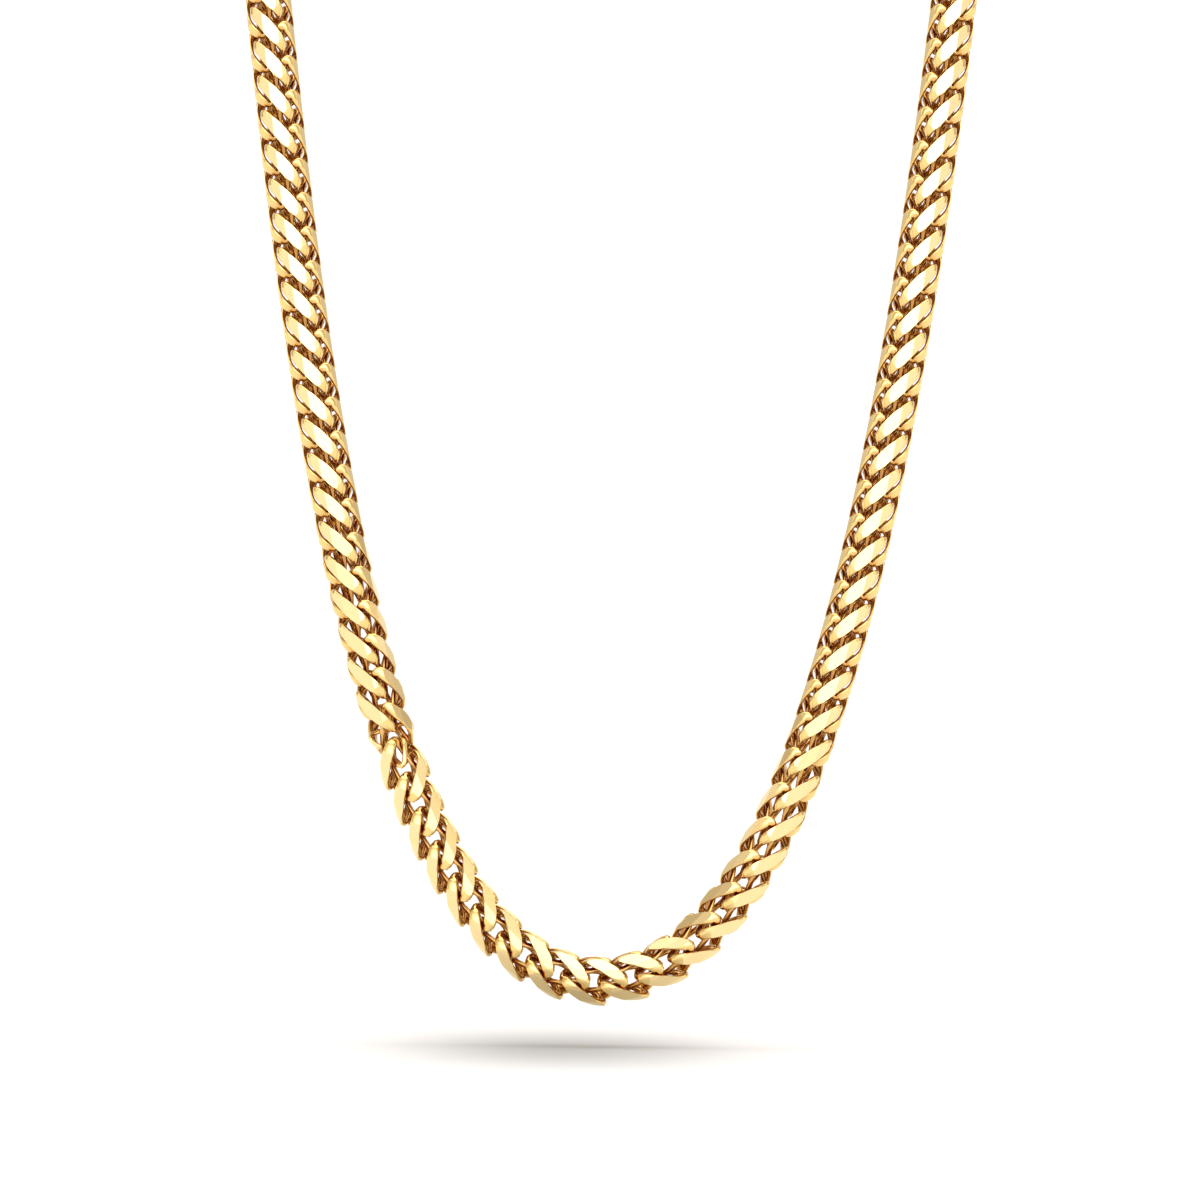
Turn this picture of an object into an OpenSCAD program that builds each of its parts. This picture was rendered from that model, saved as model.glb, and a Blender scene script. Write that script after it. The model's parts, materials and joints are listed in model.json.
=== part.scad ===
// Square four-sided neck chain of folded rings, hanging as it is worn.
// Millimetres. +Z is up and -Y is the front. The origin is the middle of the neck,
// level with the chain where it goes round the back.

/* [Chain] */
// Width of the square chain across its flats
chain_w = 6; // [5.8:0.1:6.2]
// Spacing of every second ring on the sides and the back, in chain widths
pitch_ratio = 0.757; // [0.755:0.001:0.77]
// The same spacing round the bottom bend, where the rings hang looser
low_pitch_ratio = 0.823; // [0.82:0.001:0.83]

/* [Hang] */
// Radius of the bend at the bottom of the hanging curve
bend_r = 15.44; // [15:0.1:20]
// Drop from the start of the hanging curve to its lowest point
drop = 129.4; // [100:1:160]
// Radius with which each side leans back over the shoulder
shoulder_r = 37; // [30:1:45]

/* [Hand of the rings] */
// Place where the rings change hand, along the chain from its lowest point
flip_at = -43.8; // [-60:1:-30]
// Roll of the chain about itself below that place, in degrees
low_roll = 45; // [40:1:50]
// Stretch over which the roll fades away on the other side, along the chain
roll_from = 5; // [0:1:20]
roll_to = 50; // [40:1:70]

/* [Hidden] */

step = pitch_ratio * chain_w / 2;
low_step = low_pitch_ratio * chain_w / 2;

// A ring is bent round the chain's axis like a saddle, here in eight straight
// stretches. Each row is a corner of one half of it: angle round the axis, distance
// from it, height over the ring's middle, wire thickness and wire width, the last
// four in chain widths. The other half is the same, half a turn round.
TURN = 0; OFF = 1; UP = 2; THICK = 3; WIDE = 4;
RING_CORNERS = [
    [-48, 0.452, 0.431, 0.118, 0.147],   // top lobe, at the chain's corner
    [-6.5, 0.426, 0.036, 0.133, 0.212],  // outer leg, which lies flat along the face
    [43, 0.333, -0.525, 0.106, 0.135],   // bottom lobe, inside the next ring's top lobe
    [94.5, 0.168, 0.213, 0.100, 0.118],  // inner leg, under the next ring's outer leg
];

// The one ring that joins the two hands. All its legs pass over one neighbour and
// under the other, so it links the last ring of either hand.
JOINER_CORNERS = [
    [-43.4, 0.413, 0.530, 0.100, 0.113],
    [9.9, 0.173, 0.078, 0.100, 0.113],
    [0.9, 0.441, -0.006, 0.100, 0.113],
    [42.3, 0.458, -0.319, 0.100, 0.113],
    [67, 0.117, -0.296, 0.100, 0.113],
    [101.6, 0.363, 0.073, 0.100, 0.113],
];

function half_turn_on(rows) = [for (r = rows) [r[TURN] + 180, r[OFF], r[UP], r[THICK], r[WIDE]]];
function unit(v) = v / norm(v);
function corner_at(c, hand) = let (t = hand * c[TURN])
    chain_w * [c[OFF] * cos(t), c[OFF] * sin(t), c[UP]];

// The four edges of the wire at one corner of a ring
function wire_section(ring, i, hand) = let (
    n = len(ring),
    c = ring[i],
    t = hand * c[TURN],
    along = unit(corner_at(ring[(i + 1) % n], hand) - corner_at(ring[(i + n - 1) % n], hand)),
    away = [cos(t), sin(t), 0],
    out = unit(away - along * (away * along)),
    side = cross(along, out) )
    [for (e = [[1, 1], [1, -1], [-1, -1], [-1, 1]])
        corner_at(c, hand) + chain_w / 2 * (e[0] * c[THICK] * out + e[1] * c[WIDE] * hand * side)];

// One ring: hand is 1 where its outer legs slant down to the right, -1 for the mirror
module ring(half, hand) {
    ring = concat(half, half_turn_on(half));
    n = len(ring);
    points = [for (i = [0 : n - 1]) each wire_section(ring, i, hand)];
    faces = [for (i = [0 : n - 1], k = [0 : 3]) let (
        a = 4 * i + k, b = 4 * i + (k + 1) % 4,
        c = 4 * ((i + 1) % n) + k, d = 4 * ((i + 1) % n) + (k + 1) % 4)
        each (hand > 0 ? [[a, d, c], [a, b, d]] : [[a, c, d], [a, d, b]])];
    polyhedron(points, faces);
}

// The chain's axis, by length along it from the lowest point: a hanging curve in
// front, a quarter turn over each shoulder, and a half circle round the back.
top_u = sqrt(pow(1 + drop / bend_r, 2) - 1);
hang_len = bend_r * top_u;
lean = atan(1 / top_u);
hang_half_w = bend_r * ln(top_u + sqrt(top_u * top_u + 1));
back_r = hang_half_w + shoulder_r * sin(lean);
shoulder_len = shoulder_r * PI / 2;
half_len = hang_len + shoulder_len + back_r * PI / 2;
hang_top = -shoulder_r * cos(lean);

// Each function answers for the right side, and the left is its mirror image
function on_hang(s) = s <= hang_len;
function on_shoulder(s) = s <= hang_len + shoulder_len;
function shoulder_turn(s) = (s - hang_len) / shoulder_r * 180 / PI;
function back_turn(s) = (s - hang_len - shoulder_len) / back_r * 180 / PI;
function axis_at(s) = let (u = s / bend_r, w = sqrt(1 + u * u))
    on_hang(s) ? [bend_r * ln(u + w), -shoulder_r, hang_top - drop + bend_r * (w - 1)]
    : on_shoulder(s) ? let (b = shoulder_turn(s))
        [hang_half_w + shoulder_r * sin(b) * sin(lean), -shoulder_r * cos(b),
            hang_top + shoulder_r * sin(b) * cos(lean)]
    : let (g = back_turn(s)) [back_r * cos(g), back_r * sin(g), 0];
function along_at(s) = let (u = s / bend_r)
    on_hang(s) ? unit([1, 0, u])
    : on_shoulder(s) ? let (b = shoulder_turn(s))
        [cos(b) * sin(lean), sin(b), cos(b) * cos(lean)]
    : let (g = back_turn(s)) [-sin(g), cos(g), 0];
function face_at(s) = on_hang(s) ? [0, -1, 0]
    : on_shoulder(s) ? let (b = shoulder_turn(s))
        [sin(b) * sin(lean), -cos(b), sin(b) * cos(lean)]
    : let (g = back_turn(s), w = lean * (1 - g / 90))
        [sin(w) * cos(g), sin(w) * sin(g), cos(w)];

function mirror_x(v) = [-v[0], v[1], v[2]];
function place(s) = s < 0 ? mirror_x(axis_at(-s)) : axis_at(s);
function along(s) = s < 0 ? -mirror_x(along_at(-s)) : along_at(s);
function face(s) = s < 0 ? mirror_x(face_at(-s)) : face_at(s);

// Sets its child on the chain's axis, with the child's +Z along the chain
module on_chain(s, turn) {
    p = place(s); t = along(s); f = face(s); y = cross(t, f);
    multmatrix([
        [f[0], y[0], t[0], p[0]],
        [f[1], y[1], t[1], p[1]],
        [f[2], y[2], t[2], p[2]],
        [0, 0, 0, 1]])
        rotate([0, 0, turn]) children();
}

// Where ring k sits on the right of the change of hand, and on the left of it. Each
// ring is a quarter turn round from the last and half a pitch on.
meet = 2.45;
meet_turn = 75.7;
low_n = round((-2 * flip_at) / low_step);
function right_at(k) = flip_at + meet + min(k, low_n) * low_step + max(0, k - low_n) * step;
function left_at(k) = flip_at - meet - k * step;
function right_roll(s) = low_roll * max(0, min(1, (roll_to - s) / (roll_to - roll_from)));
left_fade = 30;
function left_roll(s) = (low_roll + meet_turn - 90)
    * max(0, min(1, 1 - (left_at(0) - s) / left_fade));

// The right side has an odd number of rings and the left an even one, so that the
// clasp's two ends lie in one plane
end_gap = 4.5;
right_n = 2 * floor((half_len - end_gap - right_at(low_n) + low_n * step) / step / 2) + 1;
left_n = 2 * floor((half_len - end_gap + left_at(0)) / step / 2 + 0.5);

module chain_right() {
    color("gold") {
        on_chain(flip_at, low_roll) ring(JOINER_CORNERS, 1);
        for (k = [0 : right_n - 1])
            on_chain(right_at(k), right_roll(right_at(k)) + 90 * k) ring(RING_CORNERS, -1);
    }
}

// The left rings hang the other way up along the chain, so that theirs, too, stand
// with the top lobes up
module chain_left() {
    color("gold") for (k = [0 : left_n - 1])
        on_chain(left_at(k), left_roll(left_at(k)) + 90 * (k + 1))
            rotate([180, 0, 0]) ring(RING_CORNERS, 1);
}

// Closed plain loop at the back of the neck. Its ends lie across the last ring of each
// side, under both of the ring's top lobes.
clasp_hook = 1.2;
clasp_turn = 70;
clasp_wire = 0.56;
clasp_w = 6.7;
clasp_deep = 0.6;
clasp_from = right_at(right_n - 1) - clasp_hook;
clasp_to = 2 * half_len + left_at(left_n - 1) + clasp_hook;
clasp_len = clasp_to - clasp_from;
clasp_mid = (clasp_from + clasp_to) / 2;
clasp_inset = back_r * (1 - cos(clasp_len / 2 / back_r * 180 / PI)) / 2;

module clasp_outline() {
    difference() {
        square([clasp_w + clasp_wire, clasp_len + clasp_wire], center = true);
        square([clasp_w - clasp_wire, clasp_len - clasp_wire], center = true);
    }
}

module clasp() {
    color("gold")
        on_chain(clasp_mid, 0)
            translate([0, -clasp_inset, 0])
                rotate([0, 0, clasp_turn])
                    rotate([90, 0, 0])
                        linear_extrude(height = clasp_deep, center = true)
                            clasp_outline();
}

chain_left();
chain_right();
clasp();
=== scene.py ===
"""Franco chain necklace: folded flat-cut rings, polished yellow gold, hung as it is worn.

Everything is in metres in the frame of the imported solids: +Z up, -Y the front.
"""
import json
import math
import random

import bmesh
import bpy
from mathutils import Matrix, Vector

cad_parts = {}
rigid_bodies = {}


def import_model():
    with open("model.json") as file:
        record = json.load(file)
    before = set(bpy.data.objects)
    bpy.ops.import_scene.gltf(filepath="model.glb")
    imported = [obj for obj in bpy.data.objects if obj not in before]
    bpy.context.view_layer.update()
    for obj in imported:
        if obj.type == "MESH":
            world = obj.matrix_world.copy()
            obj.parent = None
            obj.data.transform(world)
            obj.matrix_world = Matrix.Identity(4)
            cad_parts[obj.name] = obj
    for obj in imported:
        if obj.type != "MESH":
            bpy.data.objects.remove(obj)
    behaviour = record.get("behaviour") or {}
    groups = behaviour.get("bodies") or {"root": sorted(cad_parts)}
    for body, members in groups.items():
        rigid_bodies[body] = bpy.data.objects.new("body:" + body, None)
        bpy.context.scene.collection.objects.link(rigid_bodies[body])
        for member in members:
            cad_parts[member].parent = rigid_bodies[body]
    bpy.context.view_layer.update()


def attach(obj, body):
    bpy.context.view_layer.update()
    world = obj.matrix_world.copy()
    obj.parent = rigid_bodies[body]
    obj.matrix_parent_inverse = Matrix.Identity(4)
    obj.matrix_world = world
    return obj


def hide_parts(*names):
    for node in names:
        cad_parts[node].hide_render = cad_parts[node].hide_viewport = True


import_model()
scene = bpy.context.scene

MM = 0.001

# ---------------------------------------------------------------- chain sizes
CHAIN_W = 6.0 * MM           # across the flats
STEP = 0.757 * CHAIN_W / 2   # from one ring to the next on the sides and the back
LOW_STEP = 0.823 * CHAIN_W / 2   # the same round the bottom bend
BEND_R = 15.44 * MM          # bend at the bottom of the hanging curve
DROP = 129.4 * MM            # from the start of that curve to its lowest point
SHOULDER_R = 37.0 * MM       # bend back over each shoulder
FLIP_AT = -43.8 * MM         # where the rings change hand
MEET = 2.45 * MM             # from there to the first ring on each side
LOW_ROLL = 45.0              # degrees that the bottom of the chain is rolled
MEET_TURN = 75.7             # degrees between the first rings of the two hands
ROLL_FROM, ROLL_TO = 5.0 * MM, 50.0 * MM   # where the roll fades on the right
LEFT_FADE = 30.0 * MM        # length over which it fades on the left
RIGHT_RINGS, LEFT_RINGS = 137, 100
CLASP_RINGS = 3              # rings of each side that the clasp reaches into
FRONT_RIGHT, FRONT_LEFT = 68, 48   # rings of each side in its front piece
LOOSE_TURN = 0.5             # degrees that a ring may lie off its place, either way

TOP_U = math.sqrt((1 + DROP / BEND_R) ** 2 - 1)
HANG_LEN = BEND_R * TOP_U
LEAN = math.atan(1 / TOP_U)
HANG_HALF_W = BEND_R * math.asinh(TOP_U)
BACK_R = HANG_HALF_W + SHOULDER_R * math.sin(LEAN)
SHOULDER_LEN = SHOULDER_R * math.pi / 2
HANG_TOP = -SHOULDER_R * math.cos(LEAN)


# ------------------------------------------------------------ line of the chain
def right_side(s):
    """Place, direction and outward face of the chain's axis at length s."""
    if s <= HANG_LEN:
        u = s / BEND_R
        w = math.sqrt(1 + u * u)
        return (Vector((BEND_R * math.asinh(u), -SHOULDER_R,
                        HANG_TOP - DROP + BEND_R * (w - 1))),
                Vector((1, 0, u)).normalized(), Vector((0, -1, 0)))
    if s <= HANG_LEN + SHOULDER_LEN:
        b = (s - HANG_LEN) / SHOULDER_R
        sb, cb, sl, cl = math.sin(b), math.cos(b), math.sin(LEAN), math.cos(LEAN)
        return (Vector((HANG_HALF_W + SHOULDER_R * sb * sl, -SHOULDER_R * cb,
                        HANG_TOP + SHOULDER_R * sb * cl)),
                Vector((cb * sl, sb, cb * cl)), Vector((sb * sl, -cb, sb * cl)))
    g = (s - HANG_LEN - SHOULDER_LEN) / BACK_R
    w = LEAN * (1 - g / (math.pi / 2))
    sg, cg = math.sin(g), math.cos(g)
    return (Vector((BACK_R * cg, BACK_R * sg, 0)), Vector((-sg, cg, 0)),
            Vector((math.sin(w) * cg, math.sin(w) * sg, math.cos(w))))


def mirror_x(v):
    return Vector((-v.x, v.y, v.z))


def on_chain(s, turn):
    """The matrix that sets a ring on the chain at length s, turned about the axis."""
    place, along, face = right_side(abs(s))
    if s < 0:
        place, along, face = mirror_x(place), -mirror_x(along), mirror_x(face)
    across = along.cross(face)
    m = Matrix((face, across, along)).transposed().to_4x4()
    m.translation = place
    return m @ Matrix.Rotation(math.radians(turn), 4, "Z")


def right_ring(k):
    """Where ring k sits, counted from the change of hand round the bottom and up."""
    low = round(-2 * FLIP_AT / LOW_STEP)
    s = FLIP_AT + MEET + min(k, low) * LOW_STEP + max(0, k - low) * STEP
    roll = LOW_ROLL * max(0.0, min(1.0, (ROLL_TO - s) / (ROLL_TO - ROLL_FROM)))
    return on_chain(s, roll + 90 * k)


def left_ring(k):
    """Where ring k sits, counted up from the change of hand. These hang upside down."""
    roll = (LOW_ROLL + MEET_TURN - 90) * max(0.0, 1 - k * STEP / LEFT_FADE)
    return (on_chain(FLIP_AT - MEET - k * STEP, roll + 90 * (k + 1))
            @ Matrix.Rotation(math.pi, 4, "X"))


# ------------------------------------------------------------------ one ring
# Half of the ring's wire, which is bent round the chain's axis like a saddle: angle
# round the axis, distance from it, height, half thickness and half width (mm). The
# other half is the same, half a turn round.
RING_WIRE = (
    (-50, 2.68, 2.56, 0.43, 0.74),    # top lobe
    (-28, 2.85, 1.66, 0.39, 0.85),
    (-4, 2.90, 0.10, 0.34, 0.89),     # outer leg
    (17, 2.87, -1.32, 0.34, 0.82),
    (34, 2.32, -2.42, 0.39, 0.67),
    (48, 1.60, -2.72, 0.40, 0.55),    # bottom lobe
    (67, 1.36, -1.85, 0.33, 0.42),
    (89, 1.45, -0.05, 0.29, 0.39),    # inner leg
    (110, 1.86, 1.54, 0.29, 0.48),
)
# A ring that leaves more room inside, for the joining ring and for the clasp
ROOMY_WIRE = (
    (-48, 2.71, 2.59, 0.38, 0.50),
    (-28, 2.78, 1.45, 0.40, 0.80),
    (-6.5, 2.85, 0.22, 0.38, 0.88),
    (15, 2.62, -1.40, 0.36, 0.78),
    (29, 2.25, -2.31, 0.34, 0.58),
    (42, 2.02, -3.08, 0.31, 0.36),
    (50, 1.67, -2.04, 0.29, 0.34),
    (60, 1.37, -0.93, 0.30, 0.36),
    (94.5, 1.01, 1.28, 0.30, 0.36),
    (122, 1.78, 1.93, 0.34, 0.44),
)
# The one ring that joins the two hands
JOINER_WIRE = (
    (-43.4, 2.48, 3.18, 0.29, 0.33),
    (9.9, 1.04, 0.47, 0.29, 0.33),
    (0.9, 2.65, -0.04, 0.29, 0.33),
    (42.3, 2.75, -1.91, 0.29, 0.33),
    (67, 0.70, -1.77, 0.29, 0.33),
    (101.6, 2.18, 0.44, 0.29, 0.33),
)
STEPS = 4                    # wire stations between two rows
WIRE_SIDES = 16
WELD = 0.004                 # mm between corners that become one
WIRE_BOXY = 0.74             # 1 for a round section, less for a squarer one
FLAT = 3.0                   # mm from the axis to a cut face
FACET_TURN = 25              # degrees between a face's middle facet and the next
FACET_HALF = 0.964           # half width of the middle facet
ROUND_WIRE, CUT_FACET = 0, 1  # material slots of a ring


def smooth_between(a, b, c, d, t):
    """A smooth curve through b and c, for t from 0 to 1."""
    return 0.5 * (2 * b + (c - a) * t + (2 * a - 5 * b + 4 * c - d) * t * t
                  + (3 * b - a - 3 * c + d) * t ** 3)


def wire_stations(half, hand):
    """(point, half thickness, half width) at every station round the ring."""
    m, n = len(half), 2 * len(half)
    rows = [(half[i % m][0] + 180 * (i // m),) + half[i % m][1:] for i in range(-1, n + 2)]
    stations = []
    for i in range(n):
        for k in range(STEPS):
            turn, r, z, thick, wide = (
                smooth_between(*(row[j] for row in rows[i:i + 4]), k / STEPS)
                for j in range(5))
            a = math.radians(hand * turn)
            stations.append((Vector((r * math.cos(a), r * math.sin(a), z)), thick, wide))
    return stations


def boxy(x):
    """Pushes a sine or cosine outwards, for the wire's squarer section."""
    return math.copysign(abs(x) ** WIRE_BOXY, x)


def sweep_wire(bm, half, hand):
    """Closed wire through all the stations, its thickness lying away from the axis."""
    stations = wire_stations(half, hand)
    loops = []
    for i, (point, thick, wide) in enumerate(stations):
        along = (stations[(i + 1) % len(stations)][0] - stations[i - 1][0]).normalized()
        out = Vector((point.x, point.y, 0)).normalized()
        out = (out - along * out.dot(along)).normalized()
        side = along.cross(out)
        angles = [2 * math.pi * k / WIRE_SIDES for k in range(WIRE_SIDES)]
        loops.append([bm.verts.new(point + out * (thick * boxy(math.cos(a)))
                                   + side * (wide * boxy(math.sin(a)))) for a in angles])
    for i, loop in enumerate(loops):
        after = loops[(i + 1) % len(loops)]
        for k in range(WIRE_SIDES):
            m = (k + 1) % WIRE_SIDES
            bm.faces.new((loop[k], loop[m], after[m], after[k]))


def cut_flats(bm):
    """Shaves the ring flat on the chain's four faces, with three facets on each."""
    turn = math.radians(FACET_TURN)
    side_flat = FACET_HALF * math.sin(turn) + FLAT * math.cos(turn)
    for face in range(4):
        for off, reach in ((0, FLAT), (turn, side_flat), (-turn, side_flat)):
            a = face * math.pi / 2 + off
            normal = Vector((math.cos(a), math.sin(a), 0))
            cut = bmesh.ops.bisect_plane(
                bm, geom=list(bm.verts) + list(bm.edges) + list(bm.faces), dist=1e-5,
                plane_co=normal * reach, plane_no=normal, clear_outer=True)
            rim = [e for e in cut["geom_cut"]
                   if isinstance(e, bmesh.types.BMEdge) and e.is_boundary]
            if not rim:
                continue
            for facet in bmesh.ops.holes_fill(bm, edges=rim, sides=0)["faces"]:
                facet.material_index = CUT_FACET


def mark_grain(bm):
    """UVs in millimetres: round the chain, and along it."""
    uv = bm.loops.layers.uv.new("grain")
    for f in bm.faces:
        middle = f.calc_center_median()
        a = math.atan2(middle.y, middle.x)
        for corner in f.loops:
            v = corner.vert.co
            corner[uv].uv = (v.y * math.cos(a) - v.x * math.sin(a), v.z)


def ring_mesh(half, hand):
    """One finished ring: hand is 1 where it slants as on the left side, else -1."""
    bm = bmesh.new()
    sweep_wire(bm, half, hand)
    bmesh.ops.recalc_face_normals(bm, faces=bm.faces)
    cut_flats(bm)
    bmesh.ops.remove_doubles(bm, verts=bm.verts, dist=WELD)
    bmesh.ops.recalc_face_normals(bm, faces=bm.faces)
    bmesh.ops.triangulate(bm, faces=[f for f in bm.faces if len(f.verts) > 4])
    for f in bm.faces:
        f.smooth = f.material_index == ROUND_WIRE
    for e in bm.edges:
        e.smooth = {f.material_index for f in e.link_faces} == {ROUND_WIRE}
    mark_grain(bm)
    bmesh.ops.scale(bm, vec=(MM, MM, MM), verts=bm.verts)
    mesh = bpy.data.meshes.new("ring")
    bm.to_mesh(mesh)
    bm.free()
    return mesh


# ------------------------------------------------------------------ materials
MIX_A, MIX_B, MIXED = 6, 7, 2    # colour sockets of a Mix node


def new_effect(name, inputs, output):
    """An empty effect group with named inputs (name, kind, default) and one output."""
    nt = bpy.data.node_groups.new(name, "ShaderNodeTree")
    for label, kind, value in inputs:
        nt.interface.new_socket(label, in_out="INPUT", socket_type=kind).default_value = value
    nt.interface.new_socket(output[0], in_out="OUTPUT", socket_type=output[1])
    return nt, nt.nodes.new("NodeGroupInput").outputs, nt.nodes.new("NodeGroupOutput").inputs[0]


def painted_hollow_shade():
    """Painted shade: the gold is mixed to deep brown where other wire closes round it, where
    shade falls.
    """
    nt, given, result = new_effect("painted hollow shade", (
        ("Gold", "NodeSocketColor", (0.96, 0.70, 0.28, 1)),
        ("Painted Shade Gold", "NodeSocketColor", (0.38, 0.12, 0.008, 1)),
        ("Reach", "NodeSocketFloat", 0.0026),
        ("Strength", "NodeSocketFloat", 0.8)), ("Color", "NodeSocketColor"))
    open_ = nt.nodes.new("ShaderNodeAmbientOcclusion")
    open_.samples = 6
    closed = nt.nodes.new("ShaderNodeMath")
    closed.operation = "SUBTRACT"
    closed.inputs[0].default_value = 1
    amount = nt.nodes.new("ShaderNodeMath")
    amount.operation = "MULTIPLY"
    amount.use_clamp = True
    mix = nt.nodes.new("ShaderNodeMix")
    mix.data_type = "RGBA"
    nt.links.new(given["Reach"], open_.inputs["Distance"])
    nt.links.new(open_.outputs["AO"], closed.inputs[1])
    nt.links.new(closed.outputs[0], amount.inputs[0])
    nt.links.new(given["Strength"], amount.inputs[1])
    nt.links.new(amount.outputs[0], mix.inputs["Factor"])
    nt.links.new(given["Gold"], mix.inputs[MIX_A])
    nt.links.new(given["Painted Shade Gold"], mix.inputs[MIX_B])
    nt.links.new(mix.outputs[MIXED], result)
    return nt


def handling_haze():
    """Polish that is a little duller in soft patches."""
    nt, given, result = new_effect("handling haze", (
        ("Polish", "NodeSocketFloat", 0.08),
        ("Haze", "NodeSocketFloat", 0.06),
        ("Patch Scale", "NodeSocketFloat", 400.0)), ("Roughness", "NodeSocketFloat"))
    where = nt.nodes.new("ShaderNodeTexCoord")
    patches = nt.nodes.new("ShaderNodeTexNoise")
    patches.inputs["Detail"].default_value = 3
    add = nt.nodes.new("ShaderNodeMath")
    add.operation = "MULTIPLY_ADD"
    nt.links.new(where.outputs["Object"], patches.inputs["Vector"])
    nt.links.new(given["Patch Scale"], patches.inputs["Scale"])
    nt.links.new(patches.outputs[0], add.inputs[0])
    nt.links.new(given["Haze"], add.inputs[1])
    nt.links.new(given["Polish"], add.inputs[2])
    nt.links.new(add.outputs[0], result)
    return nt


def fine_marks():
    """Hair-fine polishing marks that run across the chain, as a bumped normal."""
    nt, given, result = new_effect("fine marks", (
        ("Marks Across", "NodeSocketFloat", 0.6),
        ("Marks Along", "NodeSocketFloat", 16.0),
        ("Depth", "NodeSocketFloat", 0.05)), ("Normal", "NodeSocketVector"))
    grain = nt.nodes.new("ShaderNodeUVMap")
    grain.uv_map = "grain"
    stretch = nt.nodes.new("ShaderNodeCombineXYZ")
    lay = nt.nodes.new("ShaderNodeVectorMath")
    lay.operation = "MULTIPLY"
    marks = nt.nodes.new("ShaderNodeTexNoise")
    marks.inputs["Scale"].default_value = 1
    marks.inputs["Detail"].default_value = 2
    bump = nt.nodes.new("ShaderNodeBump")
    bump.inputs["Distance"].default_value = 0.0001
    nt.links.new(given["Marks Across"], stretch.inputs[0])
    nt.links.new(given["Marks Along"], stretch.inputs[1])
    nt.links.new(grain.outputs[0], lay.inputs[0])
    nt.links.new(stretch.outputs[0], lay.inputs[1])
    nt.links.new(lay.outputs[0], marks.inputs["Vector"])
    nt.links.new(marks.outputs[0], bump.inputs["Height"])
    nt.links.new(given["Depth"], bump.inputs["Strength"])
    nt.links.new(bump.outputs[0], result)
    return nt


EFFECTS = {"painted_shade": painted_hollow_shade(), "haze": handling_haze(), "marks": fine_marks()}


def gold_finish(name, painted_shade, haze, marks):
    """Yellow gold plate, with the given inputs for each of the three effects; the first paints
    shade into the hollows.
    """
    mat = bpy.data.materials.new(name)
    mat.use_nodes = True
    nt = mat.node_tree
    gold = nt.nodes["Principled BSDF"]
    gold.inputs["Metallic"].default_value = 1
    for effect, settings, goes_to in (("painted_shade", painted_shade, "Base Color"), ("haze", haze, "Roughness"),
                                      ("marks", marks, "Normal")):
        if settings is None:
            continue
        group = nt.nodes.new("ShaderNodeGroup")
        group.node_tree = EFFECTS[effect]
        for label, value in settings.items():
            group.inputs[label].default_value = value
        nt.links.new(group.outputs[0], gold.inputs[goes_to])
    return mat


# The deep brown in the hollows of all three golds is painted shade, strongest on the wire.
wire_gold = gold_finish("polished wire gold", {"Strength": 1.35}, {"Polish": 0.09},
                        {"Depth": 0.02})
# The facets' paler gold is a painted sheen on the cut faces.
facet_gold = gold_finish("lapped facet gold with painted sheen", {"Gold": (0.98, 0.77, 0.39, 1), "Strength": 0.3},
                         {"Polish": 0.13}, {"Depth": 0.06})
clasp_gold = gold_finish("polished clasp gold", {"Strength": 0.4}, {"Polish": 0.10}, None)


# --------------------------------------------------------------------- pieces
def chain_piece(name, node, rings):
    """One piece of loose rings, given as (mesh, place), that stands for a chain node."""
    bm = bmesh.new()
    for mesh, place in rings:
        copy = mesh.copy()
        turn = math.radians(rng.uniform(-LOOSE_TURN, LOOSE_TURN))
        copy.transform(place @ Matrix.Rotation(turn, 4, "Z"))
        bm.from_mesh(copy)
        bpy.data.meshes.remove(copy)
    joined = bpy.data.meshes.new(name)
    bm.to_mesh(joined)
    bm.free()
    joined.materials.append(wire_gold)
    joined.materials.append(facet_gold)
    piece = bpy.data.objects.new(name, joined)
    scene.collection.objects.link(piece)
    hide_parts(node)
    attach(piece, "root")


def dress_clasp():
    """Gives the clasp's own solid its finish."""
    for obj in scene.objects:
        if obj.type == "MESH" and obj.name.startswith("clasp"):
            obj.data.materials.clear()
            obj.data.materials.append(clasp_gold)


rng = random.Random(11)
right_mesh, left_mesh = ring_mesh(RING_WIRE, -1), ring_mesh(RING_WIRE, 1)
roomy_right, roomy_left = ring_mesh(ROOMY_WIRE, -1), ring_mesh(ROOMY_WIRE, 1)
joiner = (ring_mesh(JOINER_WIRE, 1), on_chain(FLIP_AT, LOW_ROLL))
right = [(roomy_right if k >= RIGHT_RINGS - CLASP_RINGS else right_mesh, right_ring(k))
         for k in range(RIGHT_RINGS)]
left = [(roomy_left if k == 0 or k >= LEFT_RINGS - CLASP_RINGS else left_mesh, left_ring(k))
        for k in range(LEFT_RINGS)]
chain_piece("left_front_rings", "chain_left", left[:FRONT_LEFT])
chain_piece("left_back_rings", "chain_left", left[FRONT_LEFT:])
chain_piece("right_front_rings", "chain_right", [joiner] + right[:FRONT_RIGHT])
chain_piece("right_back_rings", "chain_right", right[FRONT_RIGHT:])
dress_clasp()


# --------------------------------------------------------------------- studio
FLOOR_Z = -175.0 * MM
FLOOR_SIZE = 12
SHADE_X, SHADE_Y = -0.0045, -SHOULDER_R - 0.006   # middle of the soft shade
SHADE_HALF_W, SHADE_HALF_DEEP = 0.034, 0.058


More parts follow.
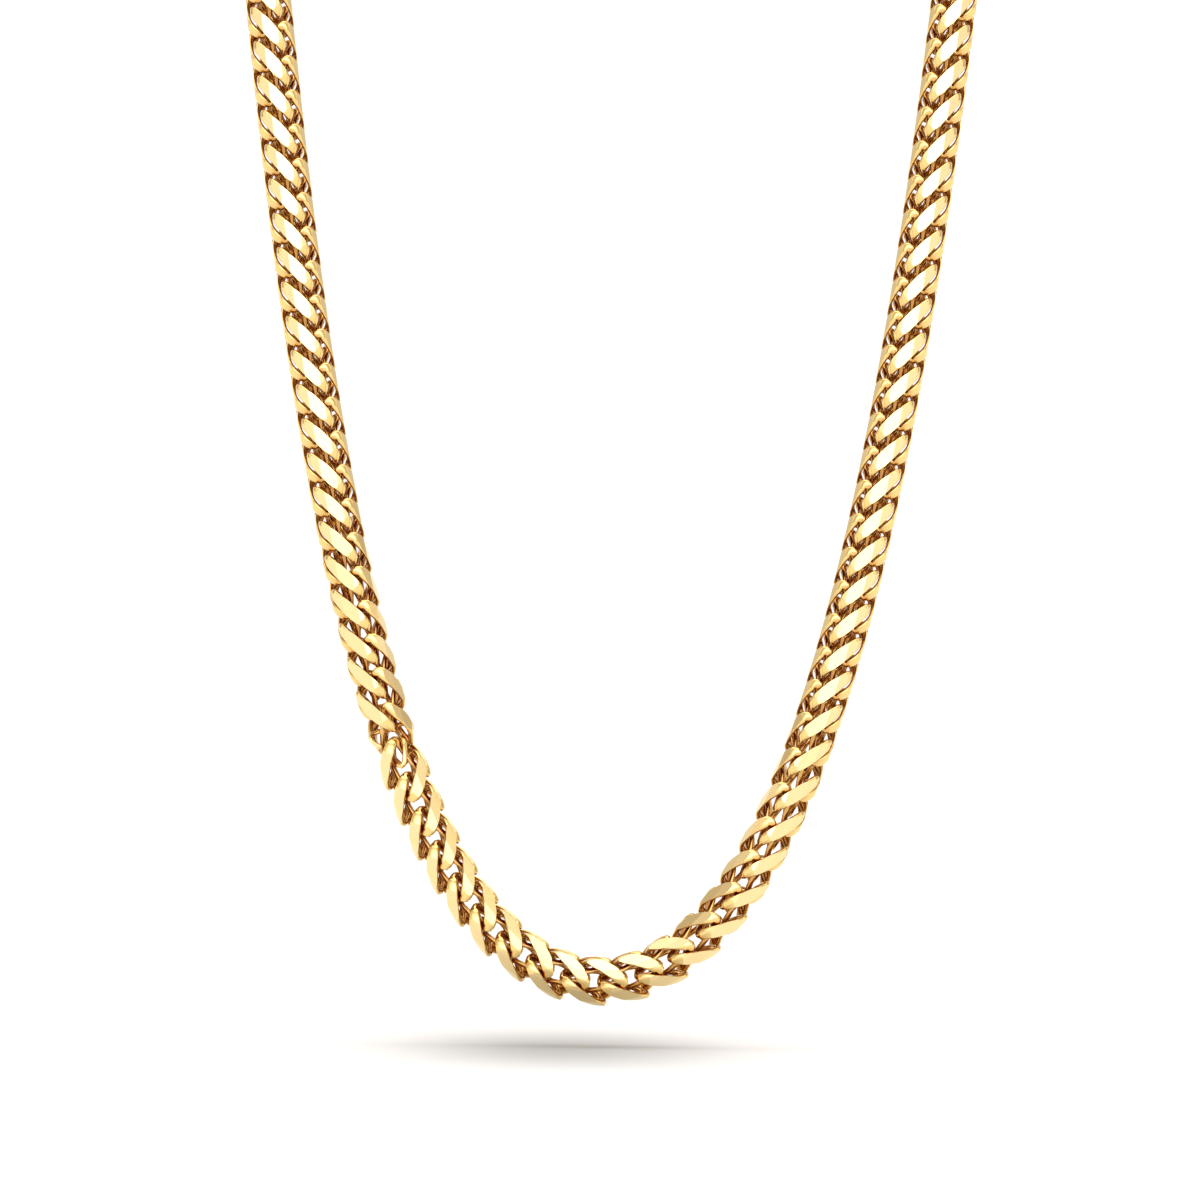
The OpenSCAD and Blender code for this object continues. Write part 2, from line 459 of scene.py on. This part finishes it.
def soft_shade():
    """A painted shadow under the chain: a soft-edged oval that is dark in the middle, in the
    floor's own metres.
    """
    nt, given, result = new_effect("soft shade", (
        ("Middle", "NodeSocketVector", (0, 0, 0)),
        ("Spread", "NodeSocketVector", (1 / SHADE_HALF_W, 1 / SHADE_HALF_DEEP, 0)),
        ("Darkness", "NodeSocketFloat", 0.44),
        ("Floor", "NodeSocketColor", (0.86, 0.86, 0.86, 1))), ("Color", "NodeSocketColor"))
    where = nt.nodes.new("ShaderNodeTexCoord")
    from_middle, squash, far = (nt.nodes.new("ShaderNodeVectorMath") for _ in range(3))
    from_middle.operation, squash.operation, far.operation = "SUBTRACT", "MULTIPLY", "LENGTH"
    fade = nt.nodes.new("ShaderNodeMapRange")
    fade.interpolation_type = "SMOOTHSTEP"
    fade.inputs["To Max"].default_value = 0
    mix = nt.nodes.new("ShaderNodeMix")
    mix.data_type = "RGBA"
    mix.inputs[MIX_B].default_value = (0, 0, 0, 1)
    nt.links.new(where.outputs["Object"], from_middle.inputs[0])
    nt.links.new(given["Middle"], from_middle.inputs[1])
    nt.links.new(from_middle.outputs[0], squash.inputs[0])
    nt.links.new(given["Spread"], squash.inputs[1])
    nt.links.new(squash.outputs[0], far.inputs[0])
    nt.links.new(far.outputs["Value"], fade.inputs["Value"])
    nt.links.new(given["Darkness"], fade.inputs["To Min"])
    nt.links.new(fade.outputs[0], mix.inputs["Factor"])
    nt.links.new(given["Floor"], mix.inputs[MIX_A])
    nt.links.new(mix.outputs[MIXED], result)
    return nt


def white_floor():
    """Plain pale floor below the chain, with the soft shadow painted under it."""
    bpy.ops.mesh.primitive_plane_add(size=FLOOR_SIZE, location=(0, 0, FLOOR_Z))
    floor = bpy.context.object
    floor.name = "studio_floor"
    mat = bpy.data.materials.new("white floor")
    mat.use_nodes = True
    paint = mat.node_tree.nodes["Principled BSDF"]
    shade = mat.node_tree.nodes.new("ShaderNodeGroup")
    shade.node_tree = soft_shade()
    shade.inputs["Middle"].default_value = (SHADE_X, SHADE_Y, 0)
    mat.node_tree.links.new(shade.outputs[0], paint.inputs["Base Color"])
    paint.inputs["Roughness"].default_value = 1.0
    paint.inputs["Specular IOR Level"].default_value = 0.0
    floor.data.materials.append(mat)


# Light of the studio from behind the camera (0) to behind the chain (1): where, how
# bright, and how warm
STUDIO_LIGHT = (
    (0.0, 2.9, 0), (0.05, 2.7, 0), (0.11, 1.6, 0), (0.17, 1.15, 0), (0.23, 0.80, 0.7),
    (0.31, 0.66, 1), (0.39, 0.74, 1), (0.47, 1.15, 0), (0.55, 1.15, 0), (0.63, 0.55, 1),
    (0.76, 0.6, 1), (0.95, 1.1, 0), (1.0, 1.1, 0))
LESS_GREEN, LESS_BLUE = 0.12, 0.24   # share that the warmest light lacks


def studio_world():
    """Soft boxes round the camera, a dimmer belt beside it and white behind."""
    world = bpy.data.worlds.new("studio")
    scene.world = world
    world.use_nodes = True
    nt = world.node_tree
    sky = nt.nodes["Background"]
    where = nt.nodes.new("ShaderNodeTexCoord")
    split = nt.nodes.new("ShaderNodeSeparateXYZ")
    span = nt.nodes.new("ShaderNodeMapRange")
    span.inputs["From Min"].default_value = -1
    ramp = nt.nodes.new("ShaderNodeValToRGB")
    nt.links.new(where.outputs["Generated"], split.inputs[0])
    nt.links.new(split.outputs["Y"], span.inputs["Value"])
    nt.links.new(span.outputs[0], ramp.inputs[0])
    nt.links.new(ramp.outputs[0], sky.inputs[0])
    stops = ramp.color_ramp.elements
    stops[0].position, stops[1].position = STUDIO_LIGHT[0][0], STUDIO_LIGHT[-1][0]
    for at, level, warm in STUDIO_LIGHT[1:-1]:
        stops.new(at)
    for stop, (at, level, warm) in zip(stops, STUDIO_LIGHT):
        stop.color = (level, level * (1 - LESS_GREEN * warm), level * (1 - LESS_BLUE * warm), 1)


def overhead_light():
    """A wide soft light from above, even over the whole floor."""
    data = bpy.data.lights.new("overhead", "SUN")
    data.angle = math.radians(70)
    data.energy = 1.3
    lamp = bpy.data.objects.new("overhead", data)
    lamp.location = (0, -0.05, 0.75)
    scene.collection.objects.link(lamp)


CAMERA_BACK = 0.9            # from the front of the chain
FRAME_W = 158.4 * MM         # width of the picture at the front of the chain
CAMERA_X, CAMERA_Z = -0.43 * MM, -116.0 * MM
CAMERA_ROLL = 0.716          # degrees
SENSOR_W = 36                # mm


def photo_camera():
    """Looks level at the front of the chain, from far enough to keep it flat."""
    data = bpy.data.cameras.new("camera")
    data.sensor_width = SENSOR_W
    data.lens = SENSOR_W * CAMERA_BACK / FRAME_W
    data.clip_start, data.clip_end = 0.01, 50
    cam = bpy.data.objects.new("camera", data)
    cam.matrix_world = (Matrix.Translation((CAMERA_X, -SHOULDER_R - CAMERA_BACK, CAMERA_Z))
                        @ Matrix.Rotation(math.radians(90), 4, "X")
                        @ Matrix.Rotation(math.radians(CAMERA_ROLL), 4, "Z"))
    scene.collection.objects.link(cam)
    scene.camera = cam


white_floor()
studio_world()
overhead_light()
photo_camera()
scene.view_settings.view_transform = "Standard"
